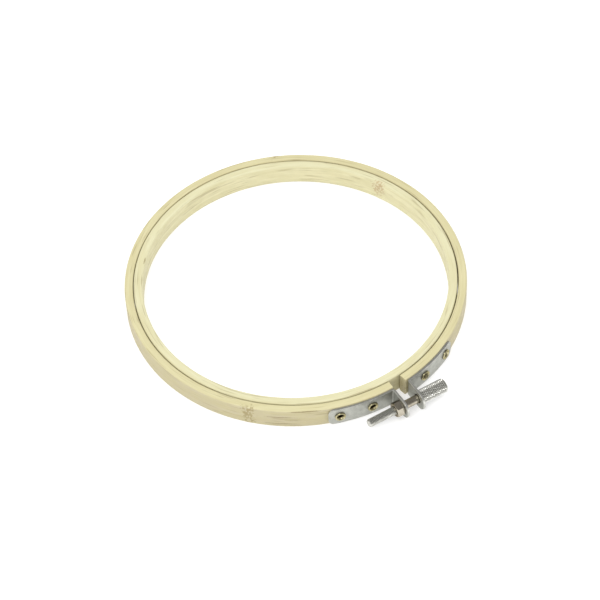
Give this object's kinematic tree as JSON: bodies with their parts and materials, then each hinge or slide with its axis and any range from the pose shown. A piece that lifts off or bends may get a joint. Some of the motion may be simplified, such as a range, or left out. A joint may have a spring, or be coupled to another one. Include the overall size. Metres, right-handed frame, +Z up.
{
  "type": "embroidery hoop",
  "caption": "Round two-ring bamboo embroidery hoop, with riveted steel clamp brackets, a knurled thumb screw and a hex nut.",
  "frame": {"origin": "the axis of both rings, at the plane of their undersides", "axes": "+Z up along the rings' axis, +X from the screw's tip towards its knurled head, and the clamp at -Y"},
  "size_m": [0.15, 0.1628, 0.0102],
  "materials": {
    "inner_bamboo": "smooth pale bamboo",
    "outer_bamboo": "smooth pale bamboo",
    "zinc_steel": "satin zinc plate",
    "eyelet_brass": "bright brass",
    "nickel": "nickel plate"
  },
  "bodies": {
    "right_half": {"outer_ring_right": "outer_bamboo", "right_bracket": "zinc_steel", "right_near_eyelet": "eyelet_brass", "right_far_eyelet": "eyelet_brass"},
    "left_half": {"outer_ring_left": "outer_bamboo", "left_bracket": "zinc_steel", "left_near_eyelet": "eyelet_brass", "left_far_eyelet": "eyelet_brass"},
    "screw": {"thumb_screw": "nickel"},
    "nut": {"hex_nut": "nickel"},
    "inner_ring": {"inner_ring": "inner_bamboo"}
  },
  "joints": [
    {"name": "screw_turn", "type": "hinge", "parent": "right_half", "child": "screw", "pos_m": [0, -0.0826, 0.0051], "axis": [0.9976, -0.0698, 0], "range_deg": [0, 6480]},
    {"name": "nut_travel", "type": "slide", "parent": "right_half", "child": "nut", "axis": [-0.9976, 0.0698, 0], "range_m": [0, 0.0108]},
    {"name": "hoop_open", "type": "hinge", "parent": "right_half", "child": "left_half", "pos_m": [0, 0.075, 0], "axis": [0, 0, -1], "range_deg": [0, 3.9]},
    {"name": "inner_ring_lift", "type": "slide", "parent": "right_half", "child": "inner_ring", "axis": [0, 0, 1], "range_m": [0, 0.03]}
  ],
  "couplings": [
    {"joint": "screw_turn", "follows": "nut_travel", "rad_per_m": 10472},
    {"joint": "hoop_open", "follows": "nut_travel", "rad_per_m": 6.2112}
  ]
}
